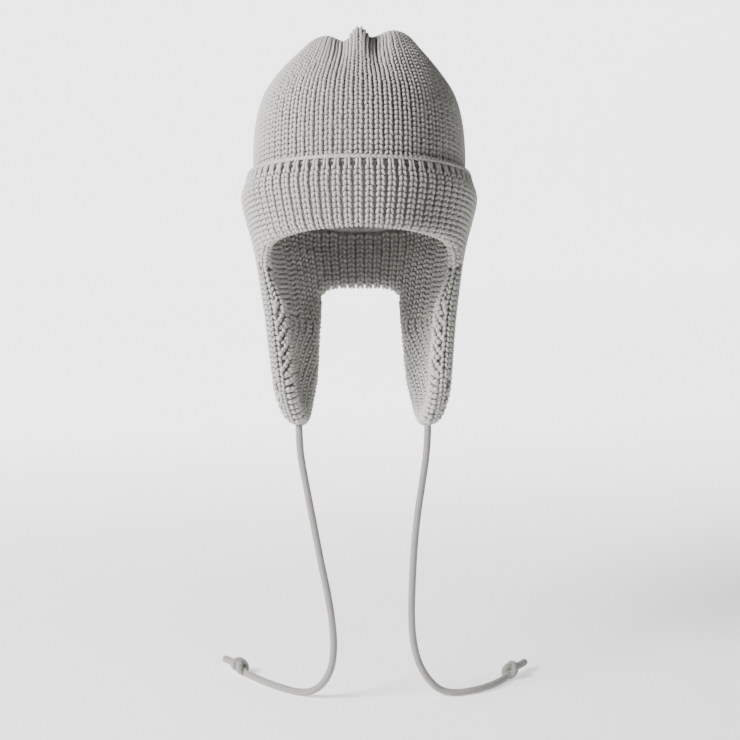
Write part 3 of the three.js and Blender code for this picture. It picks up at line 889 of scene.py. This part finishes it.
def crown_stitches(name, ridges, material):
    """V stitches on every rib that runs up to the named ridges of the crown."""
    dense = np.linspace(0, PROFILE_LENGTH - 3, 500)
    line = crown_place(np.zeros(len(dense)), dense)
    shares = rows_along(line, 0.5, ROW_PITCH)
    walked = np.interp(shares, np.linspace(0, 1, len(dense)), dense)
    counted = np.arange(-(RIBS // 8), RIBS // 8 + 1)
    grid = np.meshgrid(walked, counted, ridges, indexing="ij")
    w, rib, ridge = (part.ravel() for part in grid)

    def place(count, at):
        return crown_place(ridge + crown_rib_angle(count, at), at)

    width = 1.1 * np.linalg.norm(place(rib + 0.5, w) - place(rib - 0.5, w), axis=1)
    keep = width > NARROWEST_RIB
    w, rib, ridge, width = w[keep], rib[keep], ridge[keep], np.minimum(width[keep], WIDEST_RIB)
    point, up, out = surface_frame(place, rib, w, 0.05, 0.3)
    out = facing(out, point - CROWN_CENTRE)
    point = point - out * (GRAIN_DEPTH * 0.75)
    parts = stitch_legs(point, -up, out, width, False)
    grains(name, *parts, material)


def crown_lining_stitches(material):
    """V stitches on the crown's inner side, seen through the opening, up to half its profile."""
    walked = np.arange(-CROWN_TUCK + 1.5, CROWN_LINING_TOP * PROFILE_LENGTH, ROW_PITCH)
    grid = np.meshgrid(walked, np.arange(RIBS) * RIB_STEP, indexing="ij")
    w, angle = (part.ravel() for part in grid)

    def place(a, at):
        above = crown_place(a, np.maximum(at, 0))
        above[..., 2] += np.minimum(at, 0)
        return above

    point, up, out = surface_frame(place, angle, w, 0.1, 0.3)
    out = facing(out, point - CROWN_CENTRE)
    width = np.linalg.norm(place(angle + 0.5, w) - place(angle - 0.5, w), axis=1) * RIB_STEP
    point = point - out * (RIB_RELIEF + CROWN_WALL - 0.3)
    parts = stitch_legs(point, -up, -out, width, True)
    grains("crown_lining_stitches", *parts, material)


# Band and flap pieces


def body_angles():
    """Angles round the body, six to a rib, with the flaps' sides and a few more close to them."""
    even = np.arange(RIBS * 6) * 360 / (RIBS * 6)
    near = np.array([0, 0.15, 0.5, 1.1, 2.0])
    extra = np.concatenate([FLAP_START + near, FLAP_END - near])
    extra = np.concatenate([extra, 360 - extra])
    gap = np.abs(even[:, None] - extra[None, :]).min(axis=1)
    return np.sort(np.concatenate([even[gap > 0.25], extra]))


def body_cloth(material):
    """One cloth for band and flaps: outer and inner sheets on one grid, joined at the edges.

    It is sunk by BODY_CLOTH_DEPTH, more between ribs, in the holes and along the seam, and
    keeps its full height where the cords come out.
    """
    angle = body_angles()
    columns = len(angle)
    a = folded(angle)
    on_flap = (a >= FLAP_START) & (a <= FLAP_END)
    joint = np.where(on_flap, JOINT_DROP, bottom_drop(angle))
    band = 1 - (1 - np.linspace(0, 1, 30)) ** 1.5
    flap = 1 - (1 - np.linspace(0, 1, 40)[1:]) ** 1.5
    rows = len(band) + len(flap)
    lowest = np.where(on_flap, bottom_drop(angle), joint)

    def sheet(across, top):
        upper = top + (joint - top) * band[:, None]
        lower = joint + (lowest - joint) * flap[:, None]
        drop = np.concatenate([upper, lower])
        return wall_place(angle[None, :], drop, across), drop

    outer, outer_drop = sheet(1, FIRST_ROW * 0.3)
    inner, inner_drop = sheet(-1, CROWN_TUCK)
    index = np.arange(rows * columns).reshape(rows, columns)
    r, c = np.meshgrid(np.arange(rows), np.arange(columns), indexing="ij")
    after = (c + 1) % columns
    flap_pair = on_flap[c] & on_flap[after] & (np.abs(a[after] - a[c]) < 10)
    real = (r < rows - 1) & ((r < len(band) - 1) | flap_pair)
    below = (r + 1) % rows
    quads = np.stack([index, index[below, c], index[below, after], index[r, after]], -1)[real]
    side_line = np.isin(np.round(a, 4), [FLAP_START, FLAP_END])
    edge = (r == rows - 1) & on_flap[c]
    edge |= (r == len(band) - 1) & (~on_flap[c] | side_line[c])
    edge |= (r >= len(band) - 1) & side_line[c]
    size = rows * columns
    ring = np.arange(columns)
    seat = [slot_ring(angle, 2.6, WELT_DROP), slot_ring(angle, 3.2, CROWN_TUCK * 0.8)]
    points = np.concatenate([outer.reshape(-1, 3), inner.reshape(-1, 3), *seat])
    weld = np.arange(len(points))
    weld[size + index[edge]] = index[edge]
    after_ring = (ring + 1) % columns
    chain = [ring, 2 * size + ring, 2 * size + columns + ring, size + ring]
    closing = [
        np.column_stack([p, p[after_ring], q[after_ring], q])
        for p, q in zip(chain[:-1], chain[1:])
    ]
    everything = np.concatenate([quads, size + quads[:, ::-1], *closing])
    whole, triangles = without_doubles(weld[everything])
    normals = vertex_normals(points, whole, triangles)
    drops = np.concatenate([outer_drop.ravel(), inner_drop.ravel(), np.full(2 * columns, 3.0)])
    angles = np.concatenate([np.tile(angle, rows), np.tile(angle, rows), angle, angle])
    outside = np.arange(len(points)) < size
    lining = ~outside & (drops > LINING_START)
    started = np.where(lining, start_angle(folded(angles), drops), folded(angles))
    slanted = started + 1.05 * rib_shift(started + 0.9, drops)
    valley = 0.5 - 0.5 * np.cos(np.radians(slanted * RIBS))
    hole = np.where(outside, np.exp(-(((drops - HOLE_DROP) / HOLE_HALF_HEIGHT) ** 4)), 0)
    free = edge_distance(angles, drops)
    seam = np.exp(-((free / SEAM_HALF_WIDTH) ** 2)) * (drops > JOINT_DROP + 2)
    depth = BODY_CLOTH_DEPTH + BODY_VALLEY_DEPTH * valley
    depth = depth + hole * HOLE_DEPTH * valley + SEAM_DEPTH * seam
    exits = np.array([CORD_ROUTES[side][0] for side in ("left", "right")]) * MM
    from_cord = np.linalg.norm(to_world(points)[:, None] - exits, axis=2).min(axis=1) / MM
    depth = depth * smoothstep(from_cord, 3, 10)
    points = points - normals * depth[:, None]
    # Painted shade on the cloth under the stitches: more between ribs, in the holes below the welt
    # and along the seam.
    painted_shade = np.clip(0.6 + 0.5 * valley + hole + seam, 0, 1)
    values = {"tone": np.zeros(len(points)), "painted_shade": painted_shade}
    piece = new_piece("band_and_flaps_knit", to_world(points), whole, triangles, material, values)
    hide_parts("cuff_band", "ear_flap_left", "ear_flap_right")


def rib_width(angle, drop):
    """Room for one rib at a place: its step in radians times sqrt((w cos a)^2 + (d sin a)^2)."""
    width, depth = body_sizes(drop)
    turn = np.radians(angle)
    return np.radians(RIB_STEP) * np.hypot(width * np.cos(turn), depth * np.sin(turn))


def path_drop(angle, share, first, last):
    """Drop and wall side along a rib: down outside by a sine, up inside by 1 less a cosine."""
    bottom = bottom_drop(angle - rib_shift(angle, FLAP_DROP))
    outward = share <= 1
    fall = np.sin(np.clip(share, 0, 1) * np.pi / 2)
    climb = 1 - np.cos(np.clip(share - 1, 0, 1) * np.pi / 2)
    drop = np.where(outward, first + (bottom - first) * fall, bottom - (bottom - last) * climb)
    return drop, np.where(outward, 1.0, -1.0)


def rib_place(angle, share):
    """Point on the body at a share of a rib's whole path, 0 to 1 outside and 1 to 2 inside."""
    drop, across = path_drop(angle, share, FIRST_ROW, CROWN_TUCK + 1)
    return wall_place(angle - rib_shift(angle, drop), drop, across)


def body_stitches(material):
    """V stitches along every rib of the body, in separate outer and inner pieces."""
    angles, shares = [], []
    dense = np.linspace(0, 2, 700)
    for k in range(RIBS):
        column = np.full(len(dense), k * RIB_STEP)
        at = 2 * rows_along(rib_place(column, dense), 0.5 * ROW_PITCH, ROW_PITCH)
        angles.append(np.full(len(at), k * RIB_STEP))
        shares.append(at)
    angle, share = np.concatenate(angles), np.concatenate(shares)
    drop, across = path_drop(angle, share, FIRST_ROW, CROWN_TUCK + 1)
    a = folded(angle)
    on_flap = (a > CORNER_START) & (a < FLAP_END) & (drop > JOINT_DROP * 0.8)
    free = edge_distance(angle - rib_shift(angle, drop), drop)
    keep = ~(on_flap & (free < EDGE_ZONE)) & ~(on_flap & (across < 0) & (drop > LINING_START))
    angle, share, drop, across = angle[keep], share[keep], drop[keep], across[keep]
    point, down, out = surface_frame(rib_place, angle, share, 0.12, 0.004)
    middle = wall_place(angle - rib_shift(angle, drop), drop, 0)
    out = facing(out, point - middle)
    width = rib_width(angle, drop)
    point = point - out * GRAIN_DEPTH
    for name, chosen in (("body_stitches_outer", across > 0), ("body_stitches_inner", across < 0)):
        inner = across[chosen][0] < 0
        parts = stitch_legs(point[chosen], down[chosen], out[chosen], width[chosen], inner)
        grains(name, *parts, material)


def slanted_angle(angle, drop):
    """Angle at a drop of the lining's rib that starts at an angle, over the rounded front edge."""
    arc = degree_arc(drop)
    start = round_arc((angle - FLAP_START) * arc)
    return FLAP_START + round_inset(start - lining_lean(drop)) / arc


def start_angle(angle, drop):
    """Angle at which the lining's rib through a place started, the inverse of slanted_angle."""
    arc = degree_arc(drop)
    length = round_arc(np.maximum(angle - FLAP_START, 0) * arc)
    return FLAP_START + round_inset(length + lining_lean(drop)) / arc


def flap_lining_stitches(material):
    """The lining's ribs on the lower flap, running obliquely into the seam along its front edge."""
    pieces = []
    angles, drops = [], []
    for k in LINING_RIBS:
        drop = np.linspace(FLAP_DROP, LINING_START - LINING_OVERLAP, 900)
        start = k * RIB_STEP - rib_shift(k * RIB_STEP, FLAP_DROP)
        angle = slanted_angle(start, drop)
        inside = (angle > FLAP_START + 0.01) & (angle < FLAP_END)
        inside &= drop < bottom_drop(np.clip(angle, FLAP_START, FLAP_END))
        if inside.sum() > 20:
            drop, angle = drop[inside], angle[inside]
            at = rows_along(wall_place(angle, drop, -1.0), 0.35 * ROW_PITCH, ROW_PITCH)
            share = np.linspace(0, 1, len(drop))
            angles.append(np.interp(at, share, angle))
            drops.append(np.interp(at, share, drop))
    angle, drop = np.concatenate(angles), np.concatenate(drops)
    free = edge_distance(angle, drop)
    keep = (free > EDGE_ZONE) | (angle < INNER_CHAIN_START)
    angle, drop, free = angle[keep], drop[keep], free[keep]
    above = slanted_angle(start_angle(angle, drop), drop - 0.5)
    for side in (1, -1):
        signed = angle * side
        point = wall_place(signed, drop, -1.0)
        down = unit(point - wall_place(above * side, drop - 0.5, -1.0))
        beside = wall_place(signed + 0.15, drop, -1.0) - wall_place(signed - 0.15, drop, -1.0)
        out = facing(unit(np.cross(unit(beside), down)), point - wall_place(signed, drop, 0))
        width = rib_width(signed, drop) * (0.92 + 0.4 * np.exp(-((free / 5) ** 2)))
        point = point - out * GRAIN_DEPTH
        pieces.append(stitch_legs(point, down, out, width, True))
    parts = [np.concatenate([one, two]) for one, two in zip(*pieces)]
    grains("flap_lining_stitches", *parts, material)


def edge_chain(edge, side, across):
    """Stitch legs of one column along a free edge, on the outer (1) or the inner (-1) sheet."""
    keys = np.arange(edge.shape[1])

    def edge_values(at):
        return [np.interp(at, keys, row) for row in edge]

    def place(at, offset):
        a, d, inward_across, inward_down, arc = edge_values(at)
        a, d = a + inward_across * offset / arc, d + inward_down * offset
        return wall_place(a * side, d, across)

    line = place(np.linspace(0, keys[-1], 900), EDGE_CHAIN)
    at = keys[-1] * rows_along(line, 0.5 * ROW_PITCH, ROW_PITCH)
    a, d = edge_values(at)[:2]
    chosen = (across > 0) | (a > INNER_CHAIN_START) | (d < LINING_START + 2)
    at, a, d = at[chosen], a[chosen], d[chosen]
    point = place(at, EDGE_CHAIN)
    along = unit(place(at + 1, EDGE_CHAIN) - place(at - 1, EDGE_CHAIN))
    beside = unit(place(at, EDGE_CHAIN + 0.3) - place(at, EDGE_CHAIN - 0.3))
    out = facing(unit(np.cross(along, beside)), point - wall_place(a * side, d, 0))
    width = np.full(len(at), EDGE_STITCH)
    return stitch_legs(point - out * GRAIN_DEPTH, along, out, width, False)


def flap_edge_chains(material):
    """A column of stitches on each flap's free edge: the outer sheet and part of the inner."""
    edge = flap_edge_line()
    pieces = [edge_chain(edge, side, across) for across in (1.0, -1.0) for side in (1, -1)]
    parts = [np.concatenate(group) for group in zip(*pieces)]
    grains("flap_edge_chains", *parts, material)


def welt(material):
    """Rolled welt on the band's top edge: a tube round the ring and a chain of stitches on it."""
    columns, sides = RIBS * 5, 12
    angle = np.arange(columns) * 360 / columns
    turn = np.arange(sides) * 2 * np.pi / sides
    half_width = BAND_HALF_WIDTH * 0.945 - WELT_RADIUS * 0.75
    half_depth = BAND_HALF_DEPTH * 0.988 - WELT_RADIUS * 0.75
    wobble = 0.12 * np.cos(np.radians(angle * RIBS))[:, None]
    reach = (WELT_RADIUS * 0.8 + wobble) * np.cos(turn)[None, :] * 1.15
    rise = (WELT_RADIUS * 0.75 + wobble) * np.sin(turn)[None, :]
    height = edge_lift(angle)[:, None] - WELT_DROP + rise
    points = ring_point(angle[:, None], half_width + reach, half_depth + reach, 0, height)
    quads = grid_quads(columns + 1, sides, True)
    count = columns * sides
    quads = np.where(quads >= count, quads - count, quads)
    # The welt takes only a faint even share of the painted shade colour.
    values = {"tone": np.zeros(count), "painted_shade": np.full(count, 0.04)}
    none = np.zeros((0, 3), int)
    piece = new_piece("band_welt", to_world(points.reshape(-1, 3)), quads, none, material, values)
    at = np.arange(RIBS * 2) * RIB_STEP / 2
    outset = WELT_RADIUS * 0.85

    def place(a):
        high = edge_lift(a) - WELT_DROP + WELT_RADIUS * 0.3
        return ring_point(a, half_width + outset, half_depth + outset, 0, high)

    point = place(at)
    along = unit(place(at + 0.2) - place(at - 0.2))
    out = unit(np.column_stack([point[:, 0], point[:, 1], np.full(len(at), 30.0)]))
    width = np.full(len(at), WELT_STITCH)
    parts = stitch_legs(point - 0.4 * out, along, out, width, False)
    grains("welt_chain", *parts, material)


def welt_bars(material):
    """One upright pair of bars of yarn per rib between the holes below the welt."""
    angle = np.arange(RIBS) * RIB_STEP

    def place(a, d):
        return wall_place(a, d, 1.0)

    point, down, out = surface_frame(place, angle, np.full(RIBS, BAR_DROP), 0.3, 0.4)
    out = facing(out, point * [1, 1, 0])
    side = np.cross(down, out)
    apart = BAR_HALF_WIDTH * side
    centres = np.concatenate([point - out - apart, point - out + apart])
    down, side, out = (np.concatenate([part, part]) for part in (down, side, out))
    sizes = down * BAR_HALF_LENGTH, side * BAR_HALF_WIDTH, out * BAR_HALF_DEPTH
    grains("welt_bars", centres, *sizes, material)


def whole_hat():
    """The hat: camera and cords first, then crown, band and flaps."""
    set_camera()
    # Each yarn's second colour is its painted shade colour, mixed in where the cloth and cords mark
    # their recesses.
    cord = knit_material("cord_knit_yarn", (0.30, 0.29, 0.27), (0.13, 0.125, 0.115))
    for side in ("left", "right"):
        cord_and_knot(side, cord)
    knit = knit_material("rib_knit_yarn", (0.47, 0.46, 0.43), (0.26, 0.252, 0.235))
    crown_cloth(knit)
    crown_stitches("crown_stitches_front", np.array([0.0, 90.0]), knit)
    crown_stitches("crown_stitches_back", np.array([180.0, 270.0]), knit)
    crown_lining_stitches(knit)
    body_cloth(knit)
    body_stitches(knit)
    flap_lining_stitches(knit)
    flap_edge_chains(knit)
    welt(knit)
    welt_bars(knit)


whole_hat()
set_light()
set_floor()
